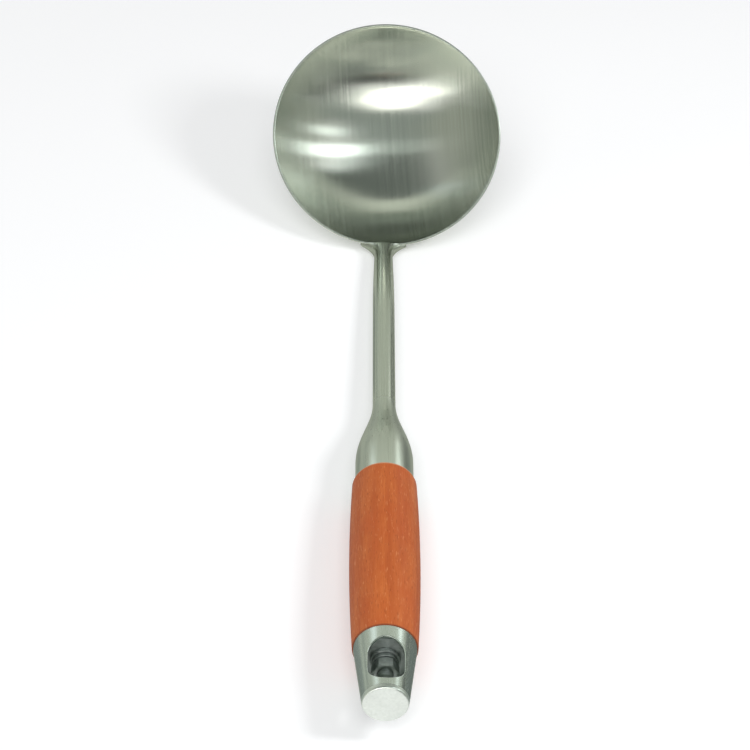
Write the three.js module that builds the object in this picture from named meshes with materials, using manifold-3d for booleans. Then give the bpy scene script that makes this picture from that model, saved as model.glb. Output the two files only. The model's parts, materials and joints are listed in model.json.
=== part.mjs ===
// Wok ladle: a pressed steel bowl welded to a tube neck, a spun ferrule, a turned wooden grip and a
// tapered steel end cap with a hanging slot, all drawn together by a rod inside the grip.
// Millimetres and degrees, +Z up. The ladle lies at rest on the plane z = 0, on the foot under its bowl
// and on the front end of its grip, with the handle along -Y.
import * as THREE from "three";
import { mergeVertices } from "three/addons/utils/BufferGeometryUtils.js";
import Module from "manifold-3d";

// Bowl
const rimDiameter = 115;
const bowlDepth = 32;
const bowlSheet = 1;
const handleAngle = 45; // handle axis above the plane of the rim
const rimAboveAxis = 1; // outer edge of the rim above the handle axis, at the weld

// Neck, a tube that fans out into a foot on the rim
const neckLength = 130.5; // from the rim to the ferrule
const neckDiameter = 10.5;
const neckWall = 1.2;
const waistDiameter = 9.2;
const waistStation = 9; // distance of the narrowest place from the rim
const taperLength = 44; // from the waist to the full neck diameter
const boreStart = 24; // distance of the blind end of the bore from the rim
const footWidth = 23;
const footFillet = 12; // radius of the fan on each side of the neck
const footReach = 18; // length of the foot under the bowl, beyond the rim
const weldLeg = 1.1;

// Ferrule, a spun bell between the neck and the grip
const flareLength = 44;
const sleeveLength = 15.5; // parallel end that takes the grip's front tenon
const sleeveDiameter = 25.8;
const ferruleWall = 1.2;

// Grip, turned from wood with a tenon at each end
const gripLength = 105.8; // between the ferrule and the cap
const gripFrontDiameter = 28.4;
const gripBellyDiameter = 30.3;
const gripRearDiameter = 27.2;
const bellyFromFront = 48;
const frontShoulder = 1.5;
const rearShoulder = 0.5;
const rearTenonLength = 3.4;

// End cap, a tapered shell with a slot for hanging
const capLength = 32.5; // from the grip to the butt, with the end disc
const capMouthDiameter = 26.4;
const buttDiameter = 19;
const capWall = 1.2;
const slotWidth = 15;
const slotLength = 21.7;
const slotFromButt = 5.1;
const discThickness = 2;
const discSpigotLength = 1.8;
const buttFillet = 0.9;

// Rod and what it clamps
const rodDiameter = 6;
const rodChamfer = 0.6;
const rodPastNut = 2.4;
const nutAcrossFlats = 10;
const nutHeight = 5;
const washerDiameter = 12.5;
const washerThickness = 1.6;
const lockWasherDiameter = 11;
const lockWasherThickness = 1.8;
const lockWasherSlit = 1.4;
const bulkheadThickness = 2;
const anchorThickness = 3;
const anchorBossDiameter = 12;
const anchorBossLength = 5;

// Clearance between pieces that meet
const gap = 0.3;

// Fineness of the round forms
const bowlSides = 72;
const handleSides = 40;
const rodSides = 16;
const bowlArcSteps = 13;
const curveSteps = 12;
const filletSteps = 4;

const wasm = await Module();
wasm.setup();

// Stations along the handle axis, measured from the rim towards the butt
const ferruleStart = neckLength;
const flareEnd = ferruleStart + flareLength;
const gripStart = flareEnd + sleeveLength;
const gripEnd = gripStart + gripLength;
const buttEnd = gripEnd + capLength;
const anchorStart = flareEnd;
const anchorEnd = anchorStart + anchorThickness;
const bulkheadStart = gripEnd + rearTenonLength + gap;
const bulkheadEnd = bulkheadStart + bulkheadThickness;
const washerStart = bulkheadEnd + gap;
const washerEnd = washerStart + washerThickness;
const lockWasherStart = washerEnd + gap;
const lockWasherEnd = lockWasherStart + lockWasherThickness;
const nutStart = lockWasherEnd + gap;
const nutEnd = nutStart + nutHeight;
const discStart = buttEnd - discThickness;

// The bowl is a cap of two concentric spheres, cut off at the plane of the rim
const rimRadius = rimDiameter / 2;
const outerRise = bowlDepth + bowlSheet;
const bowlOuterRadius = (rimRadius ** 2 + outerRise ** 2) / (2 * outerRise);
const bowlInnerRadius = bowlOuterRadius - bowlSheet;
const rimBelowCentre = bowlOuterRadius - outerRise;
const rimInnerRadius = Math.sqrt(bowlInnerRadius ** 2 - rimBelowCentre ** 2);
const tilt = THREE.MathUtils.degToRad(handleAngle);
const bowlTurn = tilt + Math.PI / 2;
const bowlCentre = new THREE.Vector3(
  0,
  rimRadius * Math.cos(tilt) - rimBelowCentre * Math.sin(tilt),
  rimAboveAxis + rimRadius * Math.sin(tilt) + rimBelowCentre * Math.cos(tilt),
);

// Radii that several pieces share
const neckRadius = neckDiameter / 2;
const waistRadius = waistDiameter / 2;
const sleeveRadius = sleeveDiameter / 2;
const sleeveBore = sleeveRadius - ferruleWall;
const rodRadius = rodDiameter / 2;
const rodHole = rodRadius + gap;

// The fan of the foot is an arc on each side, from the waist to its widest place
const footHalfWidth = footWidth / 2;
const fanRise = footHalfWidth - waistRadius;
const fanRun = Math.sqrt(footFillet ** 2 - (footFillet - fanRise) ** 2);
const fanWidest = waistStation - fanRun;

// A round solid about the handle axis, from [radius, station] pairs that follow its outside to the butt
function turned(profile, sides = handleSides) {
  const points = profile.map(([radius, station]) => new THREE.Vector2(radius, -station));
  return new THREE.LatheGeometry(points.reverse(), sides);
}

// [radius, station] pairs of a function of the station, from one station to another
function along(start, end, radiusAt, steps = curveSteps) {
  return Array.from({ length: steps + 1 }, (_, step) => {
    const station = THREE.MathUtils.lerp(start, end, step / steps);
    return [radiusAt(station), station];
  });
}

// [radius, station] pairs of a quarter round between a shoulder and the surface beside it
function quarter(radius, station, size, from) {
  const arc = new THREE.EllipseCurve(radius, station, size, size, from, from + Math.PI / 2);
  return arc.getPoints(filletSteps).map((point) => [point.x, point.y]);
}

function solidOf(geometry) {
  const bare = geometry.clone();
  bare.deleteAttribute("normal");
  bare.deleteAttribute("uv");
  const merged = mergeVertices(bare);
  const vertProperties = merged.attributes.position.array;
  const triVerts = new Uint32Array(merged.index.array);
  return new wasm.Manifold(new wasm.Mesh({ numProp: 3, vertProperties, triVerts }));
}

function geometryOf(solid) {
  const mesh = solid.getMesh();
  const geometry = new THREE.BufferGeometry();
  geometry.setAttribute("position", new THREE.BufferAttribute(mesh.vertProperties, 3));
  geometry.setIndex(new THREE.BufferAttribute(mesh.triVerts, 1));
  geometry.computeVertexNormals();
  return geometry;
}

// Arc of a sphere about the bowl's centre, from its pole to a height below that centre
function sphereArc(radius, heightBelow, steps = bowlArcSteps) {
  const rimAngle = -Math.asin(heightBelow / radius);
  const arc = new THREE.EllipseCurve(0, 0, radius, radius, -Math.PI / 2, rimAngle);
  return arc.getPoints(steps);
}

function bowlGeometry() {
  const outside = sphereArc(bowlOuterRadius, rimBelowCentre);
  const inside = sphereArc(bowlInnerRadius, rimBelowCentre).reverse();
  outside[0].x = 0;
  inside[inside.length - 1].x = 0;
  return new THREE.LatheGeometry([...outside, ...inside], bowlSides);
}

// A solid about the bowl's axis, placed in the handle's frame
function aboutBowl(points) {
  points[0].x = 0;
  const geometry = new THREE.LatheGeometry(points, bowlSides);
  geometry.rotateX(bowlTurn);
  geometry.translate(bowlCentre.x, bowlCentre.y, bowlCentre.z);
  return solidOf(geometry);
}

// The room that the bowl needs: its filled outside, and the way into its mouth
function bowlRoom() {
  const mouthTop = bowlOuterRadius;
  const rimTop = gap - rimBelowCentre;
  return aboutBowl([
    ...sphereArc(bowlOuterRadius + gap, -rimTop),
    new THREE.Vector2(rimInnerRadius, rimTop),
    new THREE.Vector2(rimInnerRadius, mouthTop),
    new THREE.Vector2(0, mouthTop),
  ]);
}

// The filled outside of the bowl, grown by an allowance and cut off at the rim
function bowlFilled(allowance) {
  return aboutBowl([
    ...sphereArc(bowlOuterRadius + allowance, rimBelowCentre),
    new THREE.Vector2(0, -rimBelowCentre),
  ]);
}

// Radius of the neck at a station, from its waist to the full tube
function neckRadiusAt(station) {
  const share = THREE.MathUtils.clamp((station - waistStation) / taperLength, 0, 1);
  return THREE.MathUtils.lerp(waistRadius, neckRadius, Math.sin((share * Math.PI) / 2));
}

// Round core of the neck, grown by an allowance
function neckCore(allowance) {
  return turned([
    [0, fanWidest],
    [waistRadius + allowance, fanWidest],
    ...along(waistStation, waistStation + taperLength, (station) => neckRadiusAt(station) + allowance),
    [neckRadius + allowance, ferruleStart],
    [0, ferruleStart],
  ]);
}

// Half width of the fan at a station between its widest place and the waist
function fanRadiusAt(station) {
  const run = waistStation - station;
  return waistRadius + footFillet - Math.sqrt(footFillet ** 2 - run ** 2);
}

// The fanned foot, a turned trumpet with a round end, flattened to the thickness of the waist and
// grown by an allowance
function footFan(allowance) {
  const reach = fanWidest + footReach + allowance;
  const tongue = new THREE.EllipseCurve(0, fanWidest, footHalfWidth + allowance, reach, -Math.PI / 2, 0);
  const fan = turned([
    [0, fanWidest - reach],
    ...tongue.getPoints(curveSteps).slice(1).map((point) => [point.x, point.y]),
    ...along(fanWidest, waistStation, (station) => fanRadiusAt(station) + allowance).slice(1),
    [0, waistStation],
  ]);
  return fan.scale(1, 1, (waistRadius + allowance) / (footHalfWidth + allowance));
}

// The neck with its foot, before the bowl and the bore are cut from it, grown by an allowance
function neckFilled(allowance) {
  return solidOf(neckCore(allowance)).add(solidOf(footFan(allowance)));
}

function neckGeometry() {
  const bore = turned([
    [0, boreStart],
    [neckRadius - neckWall, boreStart],
    [neckRadius - neckWall, ferruleStart + gap],
    [0, ferruleStart + gap],
  ]);
  return geometryOf(neckFilled(0).subtract(bowlRoom()).subtract(solidOf(bore)));
}

// Fillet weld along the edge of the foot, on the outside of the bowl
function weldGeometry() {
  const skin = bowlFilled(gap + weldLeg).subtract(bowlRoom());
  const edge = neckFilled(gap + weldLeg).subtract(neckFilled(gap));
  return geometryOf(edge.intersect(skin));
}

// Outer radius of the ferrule: an S-curve from the neck to the sleeve
function flareRadiusAt(station) {
  const share = (station - ferruleStart) / flareLength;
  return THREE.MathUtils.lerp(neckRadius, sleeveRadius, (1 - Math.cos(share * Math.PI)) / 2);
}

function ferruleGeometry() {
  const start = ferruleStart + gap;
  return turned([
    ...along(start, flareEnd, flareRadiusAt),
    [sleeveRadius, gripStart],
    [sleeveBore, gripStart],
    ...along(flareEnd, start, (station) => flareRadiusAt(station) - ferruleWall),
    [flareRadiusAt(start), start],
  ]);
}

// Plug welded inside the ferrule, with a boss that takes the front end of the rod
function anchorGeometry() {
  const bossStart = anchorStart - anchorBossLength;
  return turned([
    [rodHole, bossStart],
    [anchorBossDiameter / 2, bossStart],
    [anchorBossDiameter / 2, anchorStart],
    [sleeveBore - gap, anchorStart],
    [sleeveBore - gap, anchorEnd],
    [rodHole, anchorEnd],
    [rodHole, bossStart],
  ]);
}

function rodGeometry() {
  const start = anchorStart - anchorBossLength;
  const end = nutEnd + rodPastNut;
  return turned(
    [
      [0, start],
      [rodRadius - rodChamfer, start],
      [rodRadius, start + rodChamfer],
      [rodRadius, end - rodChamfer],
      [rodRadius - rodChamfer, end],
      [0, end],
    ],
    rodSides,
  );
}

// Outer radius of the end cap, a plain taper
function capRadiusAt(station) {
  const share = (station - gripEnd) / capLength;
  return THREE.MathUtils.lerp(capMouthDiameter, buttDiameter, share) / 2;
}

// Barrel of the grip: one parabola on each side of the belly
function barrelRadiusAt(station) {
  const belly = gripStart + bellyFromFront;
  const front = station < belly;
  const run = front ? bellyFromFront : gripLength - bellyFromFront;
  const endDiameter = front ? gripFrontDiameter : gripRearDiameter;
  const share = (station - belly) / run;
  return THREE.MathUtils.lerp(gripBellyDiameter, endDiameter, share ** 2) / 2;
}

function gripProfile() {
  const start = gripStart + gap;
  const end = gripEnd - gap;
  const barrelStart = start + frontShoulder;
  const barrelEnd = end - rearShoulder;
  const frontRadius = barrelRadiusAt(barrelStart);
  const rearRadius = barrelRadiusAt(barrelEnd);
  return [
    [sleeveBore - gap, anchorEnd + gap],
    [sleeveBore - gap, start],
    ...quarter(frontRadius - frontShoulder, barrelStart, frontShoulder, -Math.PI / 2),
    ...along(barrelStart, barrelEnd, barrelRadiusAt).slice(1, -1),
    ...quarter(rearRadius - rearShoulder, barrelEnd, rearShoulder, 0),
    [capRadiusAt(end) - capWall - gap, end],
    [capRadiusAt(gripEnd + rearTenonLength) - capWall - gap, gripEnd + rearTenonLength],
  ];
}

function gripGeometry() {
  return turned([
    [rodHole, anchorEnd + gap],
    ...gripProfile(),
    [rodHole, gripEnd + rearTenonLength],
    [rodHole, anchorEnd + gap],
  ]);
}

// The hanging slot, round at both ends and cut through both walls of the cap
function slotCutter() {
  const endRadius = slotWidth / 2;
  const rear = buttEnd - slotFromButt - endRadius;
  const front = rear - (slotLength - slotWidth);
  const outline = new THREE.Shape();
  outline.absarc(0, -front, endRadius, 0, Math.PI);
  outline.absarc(0, -rear, endRadius, Math.PI, 2 * Math.PI);
  const depth = capMouthDiameter + 2 * capWall;
  const cutter = new THREE.ExtrudeGeometry(outline, {
    depth,
    bevelEnabled: false,
    curveSegments: curveSteps,
  });
  return cutter.translate(0, 0, -depth / 2);
}

function capGeometry() {
  const end = discStart - gap;
  const shell = turned([
    [capRadiusAt(gripEnd) - capWall, gripEnd],
    [capRadiusAt(gripEnd), gripEnd],
    [capRadiusAt(end), end],
    [capRadiusAt(end) - capWall, end],
    [capRadiusAt(gripEnd) - capWall, gripEnd],
  ]);
  return geometryOf(solidOf(shell).subtract(solidOf(slotCutter())));
}

// Plate welded across the inside of the cap, on which the nut pulls
function bulkheadGeometry() {
  const edgeRadius = (station) => capRadiusAt(station) - capWall - gap;
  return turned([
    [rodHole, bulkheadStart],
    [edgeRadius(bulkheadStart), bulkheadStart],
    [edgeRadius(bulkheadEnd), bulkheadEnd],
    [rodHole, bulkheadEnd],
    [rodHole, bulkheadStart],
  ]);
}

// A flat ring on the rod
function ringGeometry(diameter, start, end) {
  return turned([
    [rodHole, start],
    [diameter / 2, start],
    [diameter / 2, end],
    [rodHole, end],
    [rodHole, start],
  ]);
}

// Split ring under the nut, open at the bottom
function lockWasherGeometry() {
  const ring = ringGeometry(lockWasherDiameter, lockWasherStart, lockWasherEnd);
  const slitDepth = lockWasherDiameter / 2;
  const slitLength = lockWasherThickness + 2 * gap;
  const slit = new THREE.BoxGeometry(lockWasherSlit, slitLength, slitDepth);
  slit.translate(0, -(lockWasherStart + lockWasherEnd) / 2, -slitDepth / 2 - gap);
  return geometryOf(solidOf(ring).subtract(solidOf(slit)));
}

function nutGeometry() {
  const sides = 6;
  const cornerRadius = nutAcrossFlats / 2 / Math.cos(Math.PI / sides);
  const corners = Array.from({ length: sides }, (_, corner) => {
    const angle = (corner * 2 * Math.PI) / sides;
    return new THREE.Vector2(cornerRadius * Math.cos(angle), cornerRadius * Math.sin(angle));
  });
  const outline = new THREE.Shape(corners);
  outline.holes.push(new THREE.Path().absarc(0, 0, rodHole, 0, 2 * Math.PI));
  const nut = new THREE.ExtrudeGeometry(outline, {
    depth: nutHeight,
    bevelEnabled: false,
    curveSegments: rodSides / 2,
  });
  nut.rotateX(Math.PI / 2);
  return nut.translate(0, -nutStart, 0);
}

// Disc that closes the butt: a spigot inside the cap and a flat end with a rounded edge
function discGeometry() {
  const spigotEnd = discStart - discSpigotLength;
  const spigotRadius = capRadiusAt(discStart) - capWall - gap;
  const edgeRadius = capRadiusAt(buttEnd) - buttFillet;
  return turned([
    [0, spigotEnd],
    [spigotRadius, spigotEnd],
    [spigotRadius, discStart],
    [capRadiusAt(discStart), discStart],
    ...quarter(edgeRadius, buttEnd - buttFillet, buttFillet, 0),
    [0, buttEnd],
  ]);
}

function satinSteel(roughness) {
  return new THREE.MeshStandardMaterial({ color: 0xa3ab9b, metalness: 1, roughness });
}

function plainSteel() {
  return new THREE.MeshStandardMaterial({ color: 0x6d7472, metalness: 1, roughness: 0.5 });
}

function orangeWood() {
  return new THREE.MeshStandardMaterial({ color: 0xc2653a, metalness: 0, roughness: 0.55 });
}

const ladle = new THREE.Group();
const handle = new THREE.Group();

function addPiece(parent, name, geometry, material) {
  const piece = new THREE.Mesh(geometry, material);
  piece.name = name;
  parent.add(piece);
  return piece;
}

const bowl = addPiece(handle, "bowl", bowlGeometry(), satinSteel(0.3));
bowl.rotation.x = bowlTurn;
bowl.position.copy(bowlCentre);
addPiece(handle, "neck", neckGeometry(), satinSteel(0.35));
addPiece(handle, "bowl_weld", weldGeometry(), plainSteel());
addPiece(handle, "front_ferrule", ferruleGeometry(), satinSteel(0.35));
addPiece(handle, "rod_anchor", anchorGeometry(), plainSteel());
addPiece(handle, "tie_rod", rodGeometry(), plainSteel());
addPiece(handle, "grip", gripGeometry(), orangeWood());
addPiece(handle, "end_cap", capGeometry(), satinSteel(0.3));
addPiece(handle, "cap_bulkhead", bulkheadGeometry(), plainSteel());
addPiece(handle, "nut_washer", ringGeometry(washerDiameter, washerStart, washerEnd), plainSteel());
addPiece(handle, "lock_washer", lockWasherGeometry(), plainSteel());
addPiece(handle, "rod_nut", nutGeometry(), plainSteel());
addPiece(handle, "end_disc", discGeometry(), satinSteel(0.4));

// All points of the pieces in the handle's frame, from the butt to the bowl
function pointsAlongHandle() {
  const points = [];
  for (const piece of handle.children) {
    piece.updateMatrix();
    const { position } = piece.geometry.attributes;
    for (let index = 0; index < position.count; index += 1) {
      points.push(new THREE.Vector3().fromBufferAttribute(position, index).applyMatrix4(piece.matrix));
    }
  }
  return points.sort((a, b) => a.y - b.y || a.z - b.z);
}

// Turn about X that lays the ladle down: of the lines that touch its underside from below, seen from
// the side, the longest becomes level, which runs from the grip to the foot under the bowl
function restingTurn() {
  const hull = [];
  for (const point of pointsAlongHandle()) {
    while (hull.length > 1) {
      const [before, last] = hull.slice(-2);
      const rise = (last.y - before.y) * (point.z - before.z) - (last.z - before.z) * (point.y - before.y);
      if (rise > 0) break;
      hull.pop();
    }
    hull.push(point);
  }
  const edges = hull.slice(1).map((point, index) => [point.y - hull[index].y, point.z - hull[index].z]);
  const [run, climb] = edges.reduce((longest, edge) => (edge[0] > longest[0] ? edge : longest));
  return -Math.atan2(climb, run);
}

handle.rotation.x = restingTurn();
ladle.add(handle);
const box = new THREE.Box3().setFromObject(ladle, true);
handle.position.set(0, -(box.min.y + box.max.y) / 2, -box.min.z);

export default ladle;
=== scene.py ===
import json
import math

import bmesh
import bpy
import numpy as np
from mathutils import Matrix, Vector


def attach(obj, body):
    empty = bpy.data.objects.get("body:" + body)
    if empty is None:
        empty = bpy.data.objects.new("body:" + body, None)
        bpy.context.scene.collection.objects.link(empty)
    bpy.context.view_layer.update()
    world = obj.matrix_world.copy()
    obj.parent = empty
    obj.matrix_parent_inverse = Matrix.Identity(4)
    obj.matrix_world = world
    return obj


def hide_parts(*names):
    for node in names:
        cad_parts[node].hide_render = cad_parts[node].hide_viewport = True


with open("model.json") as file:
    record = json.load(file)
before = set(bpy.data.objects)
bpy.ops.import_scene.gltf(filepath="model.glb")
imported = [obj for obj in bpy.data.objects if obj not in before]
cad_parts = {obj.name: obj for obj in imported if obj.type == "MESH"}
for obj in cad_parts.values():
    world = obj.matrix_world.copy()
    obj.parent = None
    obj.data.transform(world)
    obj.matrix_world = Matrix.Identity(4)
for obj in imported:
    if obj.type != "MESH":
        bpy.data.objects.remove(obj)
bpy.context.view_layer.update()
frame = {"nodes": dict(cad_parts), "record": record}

# Lengths are in millimetres and repeat those of the CAD part; meshes and the scene are in metres.
MM = 0.001
# Clearance between pieces that fit into each other, as in the CAD part
CLEARANCE = 0.3
# Millimetres to one unit of a UV map
UV_UNIT = 100.0
# Edges sharper than this many degrees are shaded as edges
SMOOTH_ANGLE = 32

# Bowl: two concentric spheres cut off at the plane of the rim
RIM_RADIUS = 57.5
BOWL_DEPTH = 32.0
BOWL_SHEET = 1.0
BOWL_TILT = math.radians(45)
RIM_ABOVE_AXIS = 1.0
RIM_ROUNDING = 0.3
BOWL_STEPS = 60
BOWL_SIDES = 240
BRUSH_TURN = math.radians(6)
OUTER_RISE = BOWL_DEPTH + BOWL_SHEET
BOWL_OUTER = (RIM_RADIUS**2 + OUTER_RISE**2) / (2 * OUTER_RISE)
BOWL_INNER = BOWL_OUTER - BOWL_SHEET
RIM_BELOW = BOWL_OUTER - OUTER_RISE
RIM_INNER = math.sqrt(BOWL_INNER**2 - RIM_BELOW**2)

# Neck and foot
WAIST_RADIUS = 4.6
NECK_RADIUS = 5.25
WAIST_STATION = 9.0
TAPER_LENGTH = 44.0
FOOT_HALF_WIDTH = 11.5
FOOT_FILLET = 12.0
FOOT_REACH = 18.0
FAN_RISE = FOOT_HALF_WIDTH - WAIST_RADIUS
FAN_RUN = math.sqrt(FOOT_FILLET**2 - (FOOT_FILLET - FAN_RISE) ** 2)
FAN_WIDEST = WAIST_STATION - FAN_RUN
WING_POWER = 1.35
CONTACT = 0.05
BEAD_RADIUS = 1.15
BEAD_LIFT = 0.5
BEAD_RIPPLE = 0.14
BEAD_PITCH = 1.7
BEAD_STEP = 0.3
BEAD_BELOW_RIM = 0.2

# Ferrule, grip, cap and disc, by station along the handle from the rim to the butt
FERRULE_START = 130.5
FLARE_END = 174.5
GRIP_START = 190.0
GRIP_END = 295.8
BUTT_END = 328.3
DISC_START = BUTT_END - 2.0
SLEEVE_RADIUS = 12.9
SHELL_WALL = 1.2
FERRULE_LIP = 0.35
SEAM = 0.04
GRIP_FRONT_RADIUS = 14.2
GRIP_BELLY_RADIUS = 15.15
GRIP_REAR_RADIUS = 13.6
GRIP_BELLY = GRIP_START + 48.0
GRIP_SHOULDER = 1.5
GRIP_HEEL = 0.25
ANCHOR_THICKNESS = 3.0
TENON_START = FLARE_END + ANCHOR_THICKNESS + CLEARANCE
TENON_END = GRIP_END + 3.4
# Bands at the grip's ends, from their inner to their outer edge: a pale painted highlight on the front
# shoulder, and darker at the rear
FRONT_SHEEN_BAND = (1.9, 1.2)
REAR_DARK_BAND = (0.7, 0.2)
CAP_MOUTH_RADIUS = 13.2
BUTT_RADIUS = 9.5
BUTT_FILLET = 0.9
DISC_SPIGOT = 1.8
SLOT_RADIUS = 7.5
SLOT_FRONT = 309.0
SLOT_REAR = 315.7
SLOT_EDGE = 0.22

# Rod, nut and washers inside the handle
ROD_START = 169.5
ROD_END = 313.2
ROD_RADIUS = 3.0
ROD_HOLE = ROD_RADIUS + CLEARANCE
ROD_CHAMFER = 0.6
THREAD_START = 296.0
THREAD_RUN_IN = 1.5
THREAD_PITCH = 1.0
THREAD_DEPTH = 0.55
# Start, end and radius
WASHER = (301.8, 303.4, 6.25)
LOCK_WASHER = (303.7, 305.5, 5.5)
# Start and end
NUT = (305.8, 310.8)
NUT_HALF = 5.0
NUT_FACE_RADIUS = 4.7
NUT_SINK = 0.5

# The handle's own frame: +X across, +Y towards the bowl along the axis, +Z up from the axis, with its
# origin where the rim meets the handle; the mount on the butt gives its direction and place
mount = frame["record"]["mounts"][0]
along = -Vector(mount["axis"]).normalized()
across = Vector((1, 0, 0))
upward = across.cross(along)
origin = Vector(mount["pos_m"]) + along * BUTT_END * MM
HANDLE = Matrix((across, along, upward)).transposed().to_4x4()
HANDLE.translation = origin

# The bowl's own frame: +Z out of its mouth, +Y away from the handle, origin at the spheres' centre
BOWL_CENTRE = np.array(
    [
        0.0,
        RIM_RADIUS * math.cos(BOWL_TILT) - RIM_BELOW * math.sin(BOWL_TILT),
        RIM_ABOVE_AXIS + RIM_RADIUS * math.sin(BOWL_TILT) + RIM_BELOW * math.cos(BOWL_TILT),
    ]
)
BOWL_AXIS = np.array([0.0, -math.sin(BOWL_TILT), math.cos(BOWL_TILT)])
BOWL = HANDLE @ Matrix.Translation(Vector(BOWL_CENTRE) * MM) @ Matrix.Rotation(BOWL_TILT, 4, "X")

# The rim's lowest point, where the rim meets the handle; painted shade darkens the steel about it
WELD_SPOT = HANDLE @ Vector((0, 0, RIM_ABOVE_AXIS * MM))


# Meshes

def arc(cx, cy, radius, start, end, steps):
    """Points on a circle, angles in degrees."""
    angles = np.radians(np.linspace(start, end, steps + 1))
    return [(cx + radius * math.cos(a), cy + radius * math.sin(a)) for a in angles]


def lathe(profile, sides):
    """Vertices, faces and face-corner UVs of a turned form about Z from (radius, height) pairs."""
    verts, faces, uvs, rings = [], [], [], []
    lengths = [0.0]
    for (r0, h0), (r1, h1) in zip(profile, profile[1:]):
        lengths.append(lengths[-1] + math.hypot(r1 - r0, h1 - h0))
    for radius, height in profile:
        if radius < 1e-9:
            rings.append([len(verts)] * (sides + 1))
            verts.append((0.0, 0.0, height))
            continue
        first = len(verts)
        for k in range(sides):
            a = 2 * math.pi * k / sides
            verts.append((radius * math.sin(a), radius * math.cos(a), height))
        rings.append([first + k for k in range(sides)] + [first])
    for i in range(len(profile) - 1):
        lo, hi = rings[i], rings[i + 1]
        for k in range(sides):
            corners = [(lo, k, i), (lo, k + 1, i), (hi, k + 1, i + 1), (hi, k, i + 1)]
            face, corner_uvs = [], []
            for ring, j, row in corners:
                if ring[j] not in face:
                    face.append(ring[j])
                    corner_uvs.append((j / sides, lengths[row] / UV_UNIT))
            if len(face) > 2:
                faces.append(face)
                uvs.append(corner_uvs)
    return np.array(verts), faces, uvs


def turned(profile, sides=160):
    """A lathe form about the handle axis, from (radius, station) pairs."""
    verts, faces, uvs = lathe(profile, sides)
    return np.stack([verts[:, 0], -verts[:, 2], verts[:, 1]], 1), faces, uvs


def make_piece(name, parts, matrix, material, smooth_angle=SMOOTH_ANGLE):
    """A mesh object from (verts, faces, uvs) in millimetres in the frame given by matrix."""
    verts, faces, uvs = parts
    mesh = bpy.data.meshes.new(name)
    mesh.from_pydata((np.asarray(verts) * MM).tolist(), [], faces)
    mesh.transform(matrix)
    if uvs:
        layer = mesh.uv_layers.new(name="UVMap")
        flat = [value for face in uvs for corner in face for value in corner]
        layer.data.foreach_set("uv", flat)
    tidy_mesh(mesh, smooth_angle)
    piece = bpy.data.objects.new(name, mesh)
    bpy.context.scene.collection.objects.link(piece)
    mesh.materials.append(material)
    return piece


def tidy_mesh(mesh, smooth_angle):
    """Faces outwards, smooth shading, sharp edges above the angle."""
    form = bmesh.new()
    form.from_mesh(mesh)
    bmesh.ops.remove_doubles(form, verts=form.verts, dist=1e-7)
    bmesh.ops.recalc_face_normals(form, faces=form.faces)
    form.to_mesh(mesh)
    form.free()
    mesh.shade_smooth()
    mesh.set_sharp_from_angle(angle=math.radians(smooth_angle))


def settle(piece, node_slot, *nodes):
    """The piece rides on the only body and stands for CAD nodes, which are hidden; the slot given is not
    used.
    """
    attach(piece, "root")
    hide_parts(*nodes)


def cut(piece, cutter_parts, matrix):
    """Takes a solid away from a piece."""
    cutter = make_piece("cutter", cutter_parts, matrix, piece.data.materials[0])
    modifier = piece.modifiers.new("cut", "BOOLEAN")
    modifier.operation = "DIFFERENCE"
    modifier.solver = "EXACT"
    modifier.object = cutter
    bpy.context.view_layer.update()
    evaluated = piece.evaluated_get(bpy.context.evaluated_depsgraph_get())
    mesh = bpy.data.meshes.new_from_object(evaluated)
    old = piece.data
    piece.modifiers.clear()
    piece.data = mesh
    mesh.name = piece.name
    bpy.data.meshes.remove(old)
    cutter_mesh = cutter.data
    bpy.data.objects.remove(cutter)
    bpy.data.meshes.remove(cutter_mesh)
    tidy_mesh(mesh, SMOOTH_ANGLE)


# Shapes of the pieces

def sphere_arc(radius, below, steps):
    """(radius, height) pairs about the spheres' centre, from the pole to the given depth."""
    return arc(0, 0, radius, -90, -math.degrees(math.asin(below / radius)), steps)


def bowl_parts():
    """Bowl shell with a rounded rim, mapped straight across for the brush lines."""
    outer = sphere_arc(BOWL_OUTER, RIM_BELOW + RIM_ROUNDING, BOWL_STEPS)
    inner = sphere_arc(BOWL_INNER, RIM_BELOW + RIM_ROUNDING, BOWL_STEPS)
    outer[0] = (0.0, -BOWL_OUTER)
    inner[0] = (0.0, -BOWL_INNER)
    top = -RIM_BELOW
    out_r, in_r = outer[-1][0], inner[-1][0]
    round_out = arc(out_r - RIM_ROUNDING, top - RIM_ROUNDING, RIM_ROUNDING, 10, 90, 4)
    round_in = arc(in_r + RIM_ROUNDING, top - RIM_ROUNDING, RIM_ROUNDING, 90, 170, 4)
    verts, faces, _ = lathe([*outer, *round_out, *round_in, *inner[::-1]], BOWL_SIDES)
    c, s = math.cos(BRUSH_TURN), math.sin(BRUSH_TURN)
    flat = [((c * x + s * y) / UV_UNIT, (c * y - s * x) / UV_UNIT) for x, y, _ in verts]
    return verts, faces, [[flat[v] for v in face] for face in faces]


def neck_radius(station):
    share = min(max((station - WAIST_STATION) / TAPER_LENGTH, 0), 1)
    return WAIST_RADIUS + (NECK_RADIUS - WAIST_RADIUS) * math.sin(share * math.pi / 2)


def foot_half_width(station):
    if station >= WAIST_STATION:
        return neck_radius(station)
    if station >= FAN_WIDEST:
        run = WAIST_STATION - station
        return WAIST_RADIUS + FOOT_FILLET - math.sqrt(FOOT_FILLET**2 - run**2)
    share = (FAN_WIDEST - station) / (FAN_WIDEST + FOOT_REACH)
    return FOOT_HALF_WIDTH * math.sqrt(max(1 - share**2, 0))


def foot_half_height(station):
    if station >= FAN_WIDEST:
        return neck_radius(station)
    return foot_half_width(station) * WAIST_RADIUS / FOOT_HALF_WIDTH


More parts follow.
